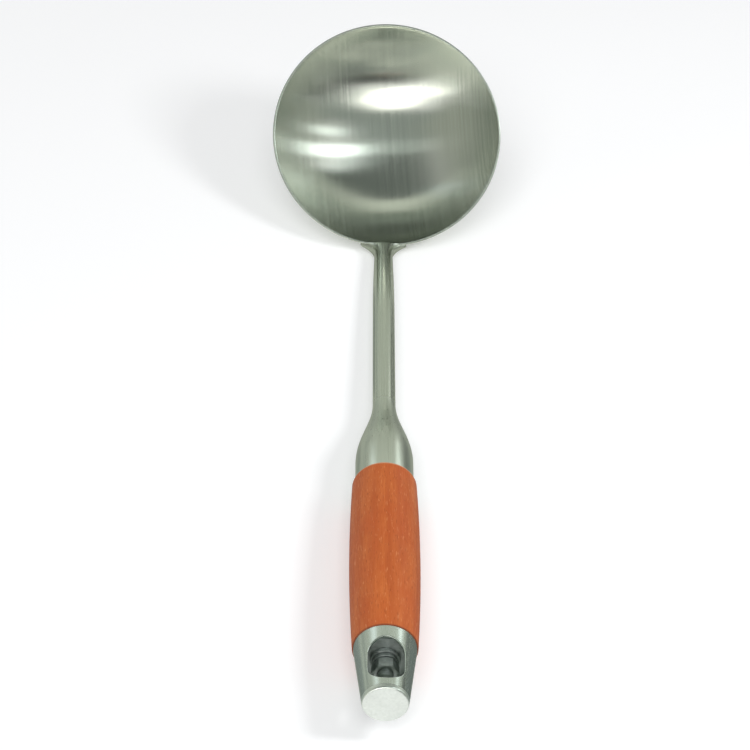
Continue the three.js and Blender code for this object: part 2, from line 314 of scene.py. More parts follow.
def neck_point(station, turn):
    """A point on the neck's skin: round along the tube, drawn out into thin wings on the foot."""
    wide, high = foot_half_width(station), foot_half_height(station)
    flat = min(max((wide / high - 1) / (FOOT_HALF_WIDTH / WAIST_RADIUS - 1), 0), 1)
    power = 2 + (WING_POWER - 2) * flat
    c, s = math.cos(turn), math.sin(turn)
    x = math.copysign(abs(c) ** (2 / power), c) * wide
    z = math.copysign(abs(s) ** (2 / power), s) * high
    return np.array([x, -station, z])


def neck_parts():
    """Tube, fan and tongue of the foot, before the room of the bowl is cut away."""
    tongue = [FAN_WIDEST - (FAN_WIDEST + FOOT_REACH) * math.sin(math.radians(a)) for a in range(88, 0, -4)]
    fan = list(np.linspace(FAN_WIDEST, WAIST_STATION, 25))
    tube = list(np.linspace(WAIST_STATION, WAIST_STATION + TAPER_LENGTH, 21))[1:]
    stations = tongue + fan + tube + [FERRULE_START + CLEARANCE - SEAM]
    sides = 96
    verts, faces, uvs = [], [], []
    for s in stations:
        verts += [neck_point(s, 2 * math.pi * k / sides) for k in range(sides)]
    for i in range(len(stations) - 1):
        for k in range(sides):
            a, b = i * sides + k, i * sides + (k + 1) % sides
            faces.append([a, b, b + sides, a + sides])
            u0, u1 = k / sides, (k + 1) / sides
            v0, v1 = stations[i] / UV_UNIT, stations[i + 1] / UV_UNIT
            uvs.append([(u0, v0), (u1, v0), (u1, v1), (u0, v1)])
    last = (len(stations) - 1) * sides
    for face in (list(range(sides)), list(range(last, last + sides))):
        faces.append(face)
        uvs.append([(k / sides, 0) for k in range(sides)])
    return np.array(verts), faces, uvs


def bowl_room_parts():
    """What the foot leaves free: the bowl's filled outside and the way into its mouth."""
    top = CONTACT - RIM_BELOW
    skin = sphere_arc(BOWL_OUTER + CONTACT, -top, BOWL_STEPS)
    skin[0] = (0.0, -BOWL_OUTER - CONTACT)
    mouth = [(RIM_INNER, top), (RIM_INNER, BOWL_OUTER), (0.0, BOWL_OUTER)]
    return lathe([*skin, *mouth], BOWL_SIDES)


def bead_path():
    """Where the foot's skin meets the outside of the bowl, from one end at the rim to the other."""
    path = []
    for turn in np.radians(np.linspace(40, -220, 131)):
        low, high = -FOOT_REACH + 0.01, WAIST_STATION + 20

        def outside(s):
            return np.linalg.norm(neck_point(s, turn) - BOWL_CENTRE) - BOWL_OUTER

        if outside(low) > 0 or outside(high) < 0:
            continue
        for _ in range(50):
            middle = (low + high) / 2
            low, high = (low, middle) if outside(middle) > 0 else (middle, high)
        point = neck_point(high, turn)
        if (point - BOWL_CENTRE) @ BOWL_AXIS < -RIM_BELOW - BEAD_BELOW_RIM:
            path.append(point)
    return np.array(path)


def resampled(path, step):
    """The path with points at an even distance."""
    lengths = np.r_[0, np.cumsum(np.linalg.norm(np.diff(path, axis=0), axis=1))]
    wanted = np.linspace(0, lengths[-1], int(lengths[-1] / step) + 1)
    return np.stack([np.interp(wanted, lengths, path[:, i]) for i in range(3)], 1), wanted


def bead_parts():
    """Weld bead, a rippled rope along the edge of the foot with rounded ends."""
    path, run = resampled(bead_path(), BEAD_STEP)
    sides = 14
    verts, faces = [], []
    total = run[-1]
    for i, point in enumerate(path):
        ahead = path[min(i + 1, len(path) - 1)] - path[max(i - 1, 0)]
        ahead /= np.linalg.norm(ahead)
        out = point - BOWL_CENTRE
        out -= ahead * (out @ ahead)
        out /= np.linalg.norm(out)
        side = np.cross(ahead, out)
        ripple = BEAD_RIPPLE * abs(math.sin(math.pi * run[i] / BEAD_PITCH))
        end = min(run[i], total - run[i]) / BEAD_RADIUS
        radius = (BEAD_RADIUS - BEAD_RIPPLE + ripple) * math.sqrt(max(1 - max(1 - end, 0) ** 2, 0.004))
        for k in range(sides):
            a = 2 * math.pi * k / sides
            around = math.cos(a) * out + math.sin(a) * side
            verts.append(point + BEAD_LIFT * out + radius * around)
    for i in range(len(path) - 1):
        for k in range(sides):
            a, b = i * sides + k, i * sides + (k + 1) % sides
            faces.append([a, b, b + sides, a + sides])
    last = (len(path) - 1) * sides
    faces += [list(range(sides)), list(range(last, last + sides))]
    return np.array(verts), faces, None


def flare_radius(station):
    share = (station - FERRULE_START) / (FLARE_END - FERRULE_START)
    return NECK_RADIUS + (SLEEVE_RADIUS - NECK_RADIUS) * (1 - math.cos(share * math.pi)) / 2


def ferrule_parts():
    """Bell that flares from the neck to the sleeve round the grip's front tenon."""
    lip = FERRULE_LIP
    stations = np.linspace(FERRULE_START + CLEARANCE, FLARE_END, 49)
    outside = [(flare_radius(s), s) for s in stations]
    edge = [(r, s) for s, r in arc(GRIP_START - lip, SLEEVE_RADIUS - lip, lip, 90, 0, 4)]
    inside = [(flare_radius(s) - SHELL_WALL, s) for s in stations[::-1]]
    bore = [(SLEEVE_RADIUS - SHELL_WALL, GRIP_START)]
    return turned([*outside, *edge, *bore, *inside, outside[0]])


def barrel_radius(station):
    front = station < GRIP_BELLY
    run = GRIP_BELLY - GRIP_START if front else GRIP_END - GRIP_BELLY
    end = GRIP_FRONT_RADIUS if front else GRIP_REAR_RADIUS
    return GRIP_BELLY_RADIUS + (end - GRIP_BELLY_RADIUS) * ((station - GRIP_BELLY) / run) ** 2


def cap_radius(station):
    share = (station - GRIP_END) / (BUTT_END - GRIP_END)
    return CAP_MOUTH_RADIUS + (BUTT_RADIUS - CAP_MOUTH_RADIUS) * share


def grip_parts():
    """Barrel with a rounded shoulder and heel, a tenon at each end and a hole for the rod."""
    start, end = GRIP_START + SEAM, GRIP_END - SEAM
    front, rear = GRIP_SHOULDER, GRIP_HEEL
    shoulder = [
        (r, s) for s, r in arc(start + front, barrel_radius(start + front) - front, front, 180, 90, 8)
    ]
    heel = [(r, s) for s, r in arc(end - rear, barrel_radius(end - rear) - rear, rear, 90, 0, 6)]
    barrel = [(barrel_radius(s), s) for s in np.linspace(start + front, end - rear, 61)[1:-1]]
    inset = SHELL_WALL + CLEARANCE
    return turned(
        [
            (ROD_HOLE, TENON_START),
            (SLEEVE_RADIUS - inset, TENON_START),
            (SLEEVE_RADIUS - inset, start),
            *shoulder,
            *barrel,
            *heel,
            (cap_radius(end) - inset, end),
            (cap_radius(TENON_END) - inset, TENON_END),
            (ROD_HOLE, TENON_END),
            (ROD_HOLE, TENON_START),
        ]
    )


def slot_outline(direction, offset):
    """Point (x, station) of the slot's outline in a direction from its middle, grown by an offset."""
    dx, ds = direction
    radius = SLOT_RADIUS + offset
    half = (SLOT_REAR - SLOT_FRONT) / 2
    middle = (SLOT_FRONT + SLOT_REAR) / 2
    if abs(dx) > 1e-9 and abs(ds / dx) * radius <= half:
        reach = radius / abs(dx)
    else:
        along_arc = abs(ds) * half
        size = dx * dx + ds * ds
        reach = (along_arc + math.sqrt(along_arc**2 - size * (half**2 - radius**2))) / size
    return dx * reach, middle + ds * reach


def cap_parts():
    """Tapered shell with the slot through both walls; the slot's edges are softened."""
    start, end = GRIP_END, DISC_START - SEAM
    across_steps, along_steps, rows, crowding = 72, 28, 14, 1.3
    middle = (SLOT_FRONT + SLOT_REAR) / 2
    quarter_turn = math.pi / 2
    mean_radius = 12.0
    edge = [(x, start) for x in np.linspace(-quarter_turn, quarter_turn, across_steps + 1)[:-1]]
    edge += [(quarter_turn, s) for s in np.linspace(start, end, along_steps + 1)[:-1]]
    edge += [(x, end) for x in np.linspace(quarter_turn, -quarter_turn, across_steps + 1)[:-1]]
    edge += [(-quarter_turn, s) for s in np.linspace(end, start, along_steps + 1)[:-1]]
    count = len(edge)
    headings = [(a * mean_radius, s - middle) for a, s in edge]
    softening = [
        (SLOT_EDGE * (1 - math.sin(t)), SLOT_EDGE * (1 - math.cos(t))) for t in np.radians([0, 30, 60, 90])
    ]

    verts, faces = [], []

    def spot(turn, station, depth, base):
        radius = cap_radius(station) - depth
        a = turn + base
        verts.append((radius * math.sin(a), -station, radius * math.cos(a)))
        return len(verts) - 1

    def slot_ring(offset, depth, base):
        ring = []
        for heading in headings:
            x, station = slot_outline(heading, offset)
            turn = math.asin(x / (cap_radius(station) - depth))
            ring.append(spot(turn, station, depth, base))
        return ring

    def grid(depth, base):
        rings = []
        for row in range(rows + 1):
            share = (row / rows) ** crowding
            ring = []
            for heading, (a, s) in zip(headings, edge):
                x, station = slot_outline(heading, SLOT_EDGE)
                turn = math.asin(x / (cap_radius(station) - depth))
                ring.append(spot(turn + (a - turn) * share, station + (s - station) * share, depth, base))
            rings.append(ring)
        return rings

    def bridge(ring_a, ring_b):
        for k in range(count):
            j = (k + 1) % count
            faces.append([ring_a[k], ring_a[j], ring_b[j], ring_b[k]])

    for base in (0, math.pi):
        outer, inner = grid(0.0, base), grid(SHELL_WALL, base)
        for rings in (outer, inner):
            for ring_a, ring_b in zip(rings, rings[1:]):
                bridge(ring_a, ring_b)
        wall = [outer[0]]
        wall += [slot_ring(offset, depth, base) for offset, depth in softening[1:]]
        wall += [slot_ring(offset, SHELL_WALL - depth, base) for offset, depth in softening[:0:-1]]
        wall.append(inner[0])
        for ring_a, ring_b in zip(wall, wall[1:]):
            bridge(ring_a, ring_b)
        for first in (0, across_steps + along_steps):
            for k in range(first, first + across_steps):
                j = (k + 1) % count
                faces.append([outer[-1][k], outer[-1][j], inner[-1][j], inner[-1][k]])
    verts = np.array(verts)
    uvs = []
    for face in faces:
        turns = [math.atan2(verts[v][0], verts[v][2]) for v in face]
        if max(turns) - min(turns) > math.pi:
            turns = [t + 2 * math.pi if t < 0 else t for t in turns]
        uvs.append([(t / (2 * math.pi), -verts[v][1] / UV_UNIT) for t, v in zip(turns, face)])
    return verts, faces, uvs


def disc_parts():
    """Disc that closes the butt: a spigot inside the cap and a flat end with a rounded edge."""
    spigot = cap_radius(DISC_START) - SHELL_WALL - CLEARANCE
    flat = cap_radius(BUTT_END) - BUTT_FILLET
    rounding = arc(flat, BUTT_END - BUTT_FILLET, BUTT_FILLET, 4, 90, 8)
    face = [(flat * k, BUTT_END) for k in (0.8, 0.6, 0.4, 0.2, 0.05)]
    return turned(
        [
            (0.0, DISC_START - DISC_SPIGOT),
            (spigot, DISC_START - DISC_SPIGOT),
            (spigot, DISC_START),
            (cap_radius(DISC_START), DISC_START),
            *rounding,
            *face,
            (0.0, BUTT_END),
        ]
    )


def ring_parts(start, end, radius, hole, rounding=0.25):
    """A flat ring with softened edges."""
    nick = 0.3 * rounding
    return turned(
        [
            (hole, start),
            (radius - rounding, start),
            (radius - nick, start + nick),
            (radius, start + rounding),
            (radius, end - rounding),
            (radius - nick, end - nick),
            (radius - rounding, end),
            (hole, end),
            (hole, start),
        ],
        96,
    )


def lock_washer_parts():
    """Split ring with a gap at the bottom."""
    start, end, radius = LOCK_WASHER
    hole, rounding, half_gap, steps = ROD_HOLE, 0.2, 0.16, 72
    section = [
        (hole, start),
        (radius - rounding, start),
        (radius, start + rounding),
        (radius, end - rounding),
        (radius - rounding, end),
        (hole, end),
    ]
    count = len(section)
    verts, faces = [], []
    for a in np.linspace(math.pi + half_gap, 3 * math.pi - half_gap, steps + 1):
        verts += [(r * math.sin(a), -s, r * math.cos(a)) for r, s in section]
    for i in range(steps):
        for k in range(count):
            a, b = i * count + k, i * count + (k + 1) % count
            faces.append([a, b, b + count, a + count])
    last = steps * count
    faces += [list(range(count)), list(range(last, last + count))]
    return np.array(verts), faces, None


def nut_parts():
    """Hexagon nut with chamfered corners and a countersunk hole."""
    start, end = NUT
    steps, hole, sink, face_radius = 96, ROD_RADIUS + CONTACT, NUT_SINK, NUT_FACE_RADIUS
    slope = math.tan(math.radians(30))
    rings = []
    for a in np.linspace(0, 2 * math.pi, steps + 1)[:-1]:
        from_flat = (a + math.pi / 6) % (math.pi / 3) - math.pi / 6
        corner = NUT_HALF / math.cos(math.pi / 6 - abs(from_flat))
        drop = (corner - face_radius) * slope
        column = [
            (hole, start + sink),
            (hole + sink, start),
            (face_radius, start),
            (corner, start + drop),
            (corner, end - drop),
            (face_radius, end),
            (hole + sink, end),
            (hole, end - sink),
        ]
        rings.append([(r * math.cos(a), -s, r * math.sin(a)) for r, s in column])
    count = len(rings[0])
    verts = [p for ring in rings for p in ring]
    faces = []
    for i in range(steps):
        j = (i + 1) % steps
        for k in range(count):
            n = (k + 1) % count
            faces.append([i * count + k, i * count + n, j * count + n, j * count + k])
    return np.array(verts), faces, None


def rod_parts():
    """Round bar with a thread cut on its rear end."""
    sides, core, tip_radius = 48, ROD_RADIUS - THREAD_DEPTH, ROD_RADIUS - ROD_CHAMFER
    stations = [ROD_START + ROD_CHAMFER, THREAD_START - THREAD_PITCH]
    stations += list(np.arange(THREAD_START, ROD_END + 1e-6, THREAD_PITCH / 10))
    verts = [(0.0, -ROD_START, 0.0)]
    verts += [
        (tip_radius * math.sin(a), -ROD_START, tip_radius * math.cos(a))
        for a in np.linspace(0, 2 * math.pi, sides + 1)[:-1]
    ]
    for s in stations:
        for k in range(sides):
            phase = (s / THREAD_PITCH - k / sides) % 1.0
            cut_in = min(max((s - THREAD_START) / THREAD_RUN_IN, 0), 1)
            # A wave with flats at its roots and crests
            crest = THREAD_DEPTH * min(max(1.4 * abs(2 * phase - 1) - 0.2, 0), 1)
            radius = ROD_RADIUS - cut_in * (THREAD_DEPTH - crest)
            if s > ROD_END - ROD_CHAMFER:
                radius = min(radius, core + max(ROD_END - s, 0) + CONTACT)
            a = 2 * math.pi * k / sides
            verts.append((radius * math.sin(a), -s, radius * math.cos(a)))
    tip = len(verts)
    verts.append((0.0, -ROD_END, 0.0))
    faces = []
    for k in range(sides):
        j = (k + 1) % sides
        faces.append([0, 1 + k, 1 + j])
        for i in range(len(stations)):
            lo = 1 + i * sides
            faces.append([lo + k, lo + sides + k, lo + sides + j, lo + j])
        last = 1 + len(stations) * sides
        faces.append([tip, last + k, last + j])
    return np.array(verts), faces, None


# Materials

def new_material(name):
    material = bpy.data.materials.new(name)
    material.use_nodes = True
    tree = material.node_tree
    return material, tree, tree.nodes["Principled BSDF"]


def node(tree, kind, inputs=(), **settings):
    """A node with its settings and inputs; an input is a value or a socket to link."""
    made = tree.nodes.new(kind)
    for key, value in settings.items():
        setattr(made, key, value)
    for key, value in dict(inputs).items():
        if isinstance(value, bpy.types.NodeSocket):
            tree.links.new(value, made.inputs[key])
        else:
            made.inputs[key].default_value = value
    return made


def stretched_noise(tree, coords, scale, detail=2.0, roughness=0.5, shift=(0, 0, 0)):
    """Noise whose cells are drawn out by a scale per axis, in cells per metre."""
    mapping = node(tree, "ShaderNodeMapping", {"Vector": coords, "Location": shift, "Scale": scale})
    noise = node(
        tree,
        "ShaderNodeTexNoise",
        {"Vector": mapping.outputs["Vector"], "Scale": 1.0, "Detail": detail, "Roughness": roughness},
    )
    return noise.outputs["Fac"]


def remapped(tree, value, low, high, to_low, to_high):
    made = node(
        tree,
        "ShaderNodeMapRange",
        {"Value": value, "From Min": low, "From Max": high, "To Min": to_low, "To Max": to_high},
    )
    return made.outputs["Result"]


def mixed(tree, factor, a, b, blend="MIX"):
    made = node(tree, "ShaderNodeMix", data_type="RGBA", blend_type=blend)
    for index, value in ((0, factor), (6, a), (7, b)):
        if isinstance(value, bpy.types.NodeSocket):
            tree.links.new(value, made.inputs[index])
        else:
            made.inputs[index].default_value = value
    return made.outputs[2]


def rgb(red, green, blue):
    return (red, green, blue, 1.0)


def local_coords(tree, matrix):
    """Coordinates in the frame of the handle or the bowl."""
    place = node(tree, "ShaderNodeTexCoord").outputs["Object"]
    inverse = node(
        tree,
        "ShaderNodeMapping",
        {"Vector": place, "Location": matrix.translation, "Rotation": matrix.to_euler()},
        vector_type="TEXTURE",
    )
    return inverse.outputs["Vector"]


# How far the painted shade about the rim's lowest point reaches, in metres, and its share there
RIM_SHADE_NEAR, RIM_SHADE_FAR, RIM_SHADE_SHARE = 0.004, 0.034, 0.35
# Height in metres that the bump of a material stands for
BUMP_HEIGHT = 0.0002


def painted_rim_shade(tree, base):
    """The colour given, darkened towards a grey-brown near the rim's lowest point: painted shade for the
    dark reflection there.
    """
    place = node(tree, "ShaderNodeTexCoord").outputs["Object"]
    gap = node(tree, "ShaderNodeVectorMath", {0: place, 1: WELD_SPOT}, operation="DISTANCE")
    share = remapped(tree, gap.outputs["Value"], RIM_SHADE_NEAR, RIM_SHADE_FAR, RIM_SHADE_SHARE, 0.0)
    # Painted shade: a dark grey-brown is mixed in near the rim's lowest point
    return mixed(tree, share, base, rgb(0.27, 0.28, 0.245))


def brushed_steel(name, matrix, light, dark, roughness, anisotropy, brush, wave, relief, edge):
    """Satin steel: brush lines along one direction, slow changes of tone and a faint waviness."""
    material, tree, shader = new_material(name)
    coords = local_coords(tree, matrix)
    lines = stretched_noise(tree, coords, brush, 2.0, 0.55)
    tone = stretched_noise(tree, coords, (wave, wave, wave), 3.0, 0.55, (3.1, 1.7, 0.4))
    streak = remapped(tree, lines, 0.34, 0.66, 0.0, 1.0)
    patch = remapped(tree, tone, 0.3, 0.7, 0.0, 0.4)
    base = mixed(tree, streak, dark, light)
    base = mixed(tree, patch, base, light)
    # The base colour carries painted shade near the rim's lowest point
    tree.links.new(painted_rim_shade(tree, base), shader.inputs["Base Color"])
    low, high = roughness
    tree.links.new(remapped(tree, lines, 0.3, 0.7, low, high), shader.inputs["Roughness"])
    bump = node(tree, "ShaderNodeBump", {"Strength": relief, "Distance": BUMP_HEIGHT, "Height": lines})
    tree.links.new(bump.outputs["Normal"], shader.inputs["Normal"])
    shader.inputs["Metallic"].default_value = 1.0
    shader.inputs["Specular Tint"].default_value = rgb(edge, edge, edge)
    shader.inputs["Anisotropic"].default_value = anisotropy
    tangent = node(tree, "ShaderNodeTangent", direction_type="UV_MAP", uv_map="UVMap")
    tree.links.new(tangent.outputs["Tangent"], shader.inputs["Tangent"])
    return material


def dull_steel(name, light, dark, roughness):
    """Plain steel of small hardware, blotched by oil and handling."""
    material, tree, shader = new_material(name)
    coords = node(tree, "ShaderNodeTexCoord").outputs["Object"]
    blotch = stretched_noise(tree, coords, (420, 420, 420), 4.0, 0.6)
    base = mixed(tree, remapped(tree, blotch, 0.35, 0.65, 0.0, 1.0), dark, light)
    tree.links.new(base, shader.inputs["Base Color"])
    low, high = roughness
    tree.links.new(remapped(tree, blotch, 0.35, 0.65, low, high), shader.inputs["Roughness"])
    bump = node(tree, "ShaderNodeBump", {"Strength": 0.1, "Distance": BUMP_HEIGHT, "Height": blotch})
    tree.links.new(bump.outputs["Normal"], shader.inputs["Normal"])
    shader.inputs["Metallic"].default_value = 1.0
    return material


def orange_wood(name):
    """Oiled orange-red hardwood with its grain along the handle."""
    material, tree, shader = new_material(name)
    coords = local_coords(tree, HANDLE)
    broad = stretched_noise(tree, coords, (260, 14, 260), 3.0, 0.55)
    mottle = stretched_noise(tree, coords, (90, 45, 90), 3.0, 0.6, (7, 3, 9))
    fibre = stretched_noise(tree, coords, (2600, 90, 2600), 2.0, 0.6, (5, 2, 1))
    fleck = stretched_noise(tree, coords, (1900, 260, 1900), 1.0, 0.5, (1, 8, 4))
    pore = stretched_noise(tree, coords, (2100, 300, 2100), 1.0, 0.5, (9, 4, 2))
    band = remapped(tree, broad, 0.35, 0.65, 0.0, 1.0)
    base = mixed(tree, band, rgb(0.47, 0.1, 0.021), rgb(0.61, 0.16, 0.035))
    base = mixed(tree, remapped(tree, mottle, 0.42, 0.62, 0.0, 0.55), base, rgb(0.5, 0.092, 0.018))
    base = mixed(tree, remapped(tree, fibre, 0.35, 0.7, 0.0, 0.55), base, rgb(0.48, 0.1, 0.022))
    base = mixed(tree, remapped(tree, pore, 0.63, 0.72, 0.0, 0.55), base, rgb(0.3, 0.05, 0.01))
    base = mixed(tree, remapped(tree, fleck, 0.64, 0.74, 0.0, 0.5), base, rgb(0.72, 0.30, 0.12))
    run = node(tree, "ShaderNodeSeparateXYZ", {"Vector": coords}).outputs["Y"]
    # Painted highlight: the rounded front shoulder is lightened to a pale sheen
    inner, outer = [-(GRIP_START + gap) * MM for gap in FRONT_SHEEN_BAND]
    front_sheen = remapped(tree, run, inner, outer, 0.0, 0.7)
    base = mixed(tree, front_sheen, base, rgb(0.75, 0.45, 0.27))
    # A darker band at the grip's rear edge, next to the cap
    inner, outer = [-(GRIP_END - gap) * MM for gap in REAR_DARK_BAND]
    rear_dark = remapped(tree, run, inner, outer, 0.0, 0.75)
    base = mixed(tree, rear_dark, base, rgb(0.2, 0.05, 0.02))
    tree.links.new(base, shader.inputs["Base Color"])
    tree.links.new(remapped(tree, fibre, 0.3, 0.7, 0.42, 0.62), shader.inputs["Roughness"])
    bump = node(tree, "ShaderNodeBump", {"Strength": 0.25, "Distance": BUMP_HEIGHT, "Height": fibre})
    tree.links.new(bump.outputs["Normal"], shader.inputs["Normal"])
    shader.inputs["Specular IOR Level"].default_value = 0.4
    return material


def weld_steel(name):
    """Weld metal with the straw, brown and grey of heat."""
    material, tree, shader = new_material(name)
    coords = node(tree, "ShaderNodeTexCoord").outputs["Object"]
    heat = stretched_noise(tree, coords, (300, 300, 300), 3.0, 0.6)
    browned = remapped(tree, heat, 0.4, 0.6, 0.0, 1.0)
    base = mixed(tree, browned, rgb(0.16, 0.12, 0.075), rgb(0.33, 0.33, 0.28))
    tree.links.new(base, shader.inputs["Base Color"])
    tree.links.new(remapped(tree, heat, 0.3, 0.7, 0.3, 0.5), shader.inputs["Roughness"])
    shader.inputs["Metallic"].default_value = 1.0
    return material


brushed_bowl = BOWL @ Matrix.Rotation(BRUSH_TURN, 4, "Z")
# Cells of the brush lines per metre, along each axis
BOWL_BRUSH = (1200, 6, 6)
HANDLE_BRUSH = (1500, 14, 1500)
DISC_BRUSH = (900, 900, 900)
TUBE_LIGHT, TUBE_DARK = rgb(0.66, 0.699, 0.616), rgb(0.594, 0.627, 0.553)
bowl_steel = brushed_steel(
    "bowl_steel",
    brushed_bowl,
    light=rgb(0.66, 0.688, 0.616),
    dark=rgb(0.594, 0.619, 0.555),
    roughness=(0.222, 0.262),
    anisotropy=0.93,
    brush=BOWL_BRUSH,
    wave=30,
    relief=0.02,
    edge=1.0,
)
handle_steel = brushed_steel(
    "handle_steel",
    HANDLE,
    light=TUBE_LIGHT,
    dark=TUBE_DARK,
    roughness=(0.2, 0.28),
    anisotropy=0.2,
    brush=HANDLE_BRUSH,
    wave=40,
    relief=0.02,
    edge=0.65,
)
ferrule_steel = brushed_steel(
    "ferrule_steel",
    HANDLE,
    light=TUBE_LIGHT,
    dark=TUBE_DARK,
    roughness=(0.27, 0.35),
    anisotropy=0.0,
    brush=HANDLE_BRUSH,
    wave=40,
    relief=0.02,
    edge=0.65,
)
cap_steel = brushed_steel(
    "cap_steel",
    HANDLE,
    light=rgb(0.645, 0.7, 0.645),
    dark=rgb(0.58, 0.63, 0.58),
    roughness=(0.2, 0.28),
    anisotropy=0.2,
    brush=HANDLE_BRUSH,
    wave=40,
    relief=0.01,
    edge=0.65,
)
disc_steel = brushed_steel(
    "disc_steel",
    HANDLE,
    light=rgb(0.83, 0.875, 0.82),
    dark=rgb(0.73, 0.775, 0.72),
    roughness=(0.28, 0.36),
    anisotropy=0.7,
    brush=DISC_BRUSH,
    wave=90,
    relief=0.05,
    edge=1.0,
)
hardware_steel = dull_steel("hardware_steel", rgb(0.52, 0.56, 0.55), rgb(0.33, 0.36, 0.35), (0.45, 0.65))
weld_metal = weld_steel("weld_steel")
grip_wood = orange_wood("grip_wood")


# Pieces

bowl = make_piece("bowl_shell", bowl_parts(), BOWL, bowl_steel, smooth_angle=50)
settle(bowl, "bowl_steel", "bowl")

neck = make_piece("neck_tube", neck_parts(), HANDLE, handle_steel)
cut(neck, bowl_room_parts(), BOWL)
settle(neck, "handle_steel", "neck")

bead = make_piece("foot_weld_bead", bead_parts(), HANDLE, weld_metal, smooth_angle=60)
settle(bead, "weld_steel", "bowl_weld")

ferrule = make_piece("ferrule_bell", ferrule_parts(), HANDLE, ferrule_steel)
settle(ferrule, "handle_steel", "front_ferrule")

grip = make_piece("grip_barrel", grip_parts(), HANDLE, grip_wood)
settle(grip, "grip_wood", "grip")

cap = make_piece("cap_shell", cap_parts(), HANDLE, cap_steel, smooth_angle=40)
settle(cap, "handle_steel", "end_cap")

disc = make_piece("butt_disc", disc_parts(), HANDLE, disc_steel)
settle(disc, "disc_steel", "end_disc")

rod = make_piece("threaded_rod", rod_parts(), HANDLE, hardware_steel, smooth_angle=50)
settle(rod, "hardware_steel", "tie_rod")

nut = make_piece("hex_nut", nut_parts(), HANDLE, hardware_steel, smooth_angle=20)
settle(nut, "hardware_steel", "rod_nut")

washer = make_piece("flat_washer", ring_parts(*WASHER, ROD_HOLE), HANDLE, hardware_steel)
settle(washer, "hardware_steel", "nut_washer")

split_washer = make_piece("split_washer", lock_washer_parts(), HANDLE, hardware_steel)
settle(split_washer, "hardware_steel", "lock_washer")

# Two hidden pieces keep the CAD's shape and only take the steel
for cad_name in ("cap_bulkhead", "rod_anchor"):
    cad_mesh = frame["nodes"][cad_name].data
    cad_mesh.materials.clear()
    cad_mesh.materials.append(hardware_steel)


# Stage: floor, light and camera

def seen_directly(tree):
    """1 for what the camera, a reflection or a transmission sees, 0 for the light on surfaces."""
    path = node(tree, "ShaderNodeLightPath")
    either = node(tree, "ShaderNodeMath", operation="MAXIMUM")
    tree.links.new(path.outputs["Is Camera Ray"], either.inputs[0])
    tree.links.new(path.outputs["Is Glossy Ray"], either.inputs[1])
    any_of = node(tree, "ShaderNodeMath", operation="MAXIMUM")
    tree.links.new(either.outputs[0], any_of.inputs[0])
    tree.links.new(path.outputs["Is Transmission Ray"], any_of.inputs[1])
    return any_of.outputs[0]


FLOOR_GLOW = 0.24
FLOOR_HALF = 8.0
FLOOR_DROP = 0.0002


def floor_material():
    """Pale matt floor with a little light of its own, which lifts it to white and keeps the shadow."""
    material, tree, shader = new_material("floor")
    shader.inputs["Base Color"].default_value = rgb(0.86, 0.87, 0.88)
    shader.inputs["Roughness"].default_value = 1.0
    shader.inputs["Specular IOR Level"].default_value = 0.0
    shader.inputs["Emission Color"].default_value = rgb(1, 1, 1)
    glow = node(tree, "ShaderNodeMath", operation="MULTIPLY")
    tree.links.new(seen_directly(tree), glow.inputs[0])
    glow.inputs[1].default_value = FLOOR_GLOW
    tree.links.new(glow.outputs[0], shader.inputs["Emission Strength"])
    return material


floor = make_piece(
    "floor",
    (
        np.array([(-1, -1, 0), (1, -1, 0), (1, 1, 0), (-1, 1, 0)], float) * FLOOR_HALF / MM,
        [[0, 1, 2, 3]],
        None,
    ),
    Matrix.Translation((0, 0, -FLOOR_DROP)),
    floor_material(),
)

scene = bpy.context.scene
world = bpy.data.worlds.new("studio")
world.use_nodes = True
scene.world = world
background = world.node_tree.nodes["Background"]
background.inputs["Color"].default_value = rgb(1, 1, 1)
AMBIENT = 0.28
world.node_tree.links.new(
    remapped(world.node_tree, seen_directly(world.node_tree), 0, 1, AMBIENT, 1.0),
    background.inputs["Strength"],
)


NEAR_BOWL = (0, 0.17, 0.05)
# Level of all that the steel mirrors, against the levels written below
MIRRORED_LEVEL = 0.91


def outward(azimuth, elevation):
    """Direction from an aim, in degrees; azimuth 0 is the camera's side, -Y, and 90 is +X."""
    a, e = math.radians(azimuth), math.radians(elevation)
    return Vector((math.sin(a) * math.cos(e), -math.cos(a) * math.cos(e), math.sin(e)))


def placed(azimuth, elevation, distance, roll, aim):
    """Where a lamp or card stands so that it faces its aim."""
    back = outward(azimuth, elevation)
    facing = back.to_track_quat("Z", "Y").to_matrix().to_4x4()
    spot = Matrix.Translation(Vector(aim) + back * distance)
    return spot @ facing @ Matrix.Rotation(math.radians(roll), 4, "Z")


def softbox(name, azimuth, elevation, distance, size, power, tint, roll=0, aim=NEAR_BOWL, mirrored=True):
    """A rectangular lamp that is there either to be mirrored by the steel or for light and shadow."""
    data = bpy.data.lights.new(name, "AREA")
    data.shape = "RECTANGLE"
    data.size, data.size_y = size
    data.energy = power * MIRRORED_LEVEL if mirrored else power
    data.color = tint
    lamp = bpy.data.objects.new(name, data)
    scene.collection.objects.link(lamp)
    lamp.matrix_world = placed(azimuth, elevation, distance, roll, aim)
    lamp.visible_glossy = mirrored
    lamp.visible_diffuse = not mirrored


def card(name, azimuth, elevation, distance, size, grey, tint, roll=0, aim=NEAR_BOWL):
    """A grey card that only reflections see; elevation 90 lays it flat over its aim."""
    material, tree, shader = new_material(name)
    shader.inputs["Base Color"].default_value = rgb(0, 0, 0)
    shader.inputs["Specular IOR Level"].default_value = 0.0
    shader.inputs["Emission Color"].default_value = rgb(*tint)
    shader.inputs["Emission Strength"].default_value = grey * MIRRORED_LEVEL
    material.cycles.emission_sampling = "NONE"
    wide, high = size[0] / 2 / MM, size[1] / 2 / MM
    corners = np.array([(-wide, -high, 0), (wide, -high, 0), (wide, high, 0), (-wide, high, 0)])
    place = placed(azimuth, elevation, distance, roll, aim)
    made = make_piece(name, (corners, [[0, 1, 2, 3]], None), place, material)
    made.visible_camera = made.visible_diffuse = made.visible_shadow = made.visible_transmission = False


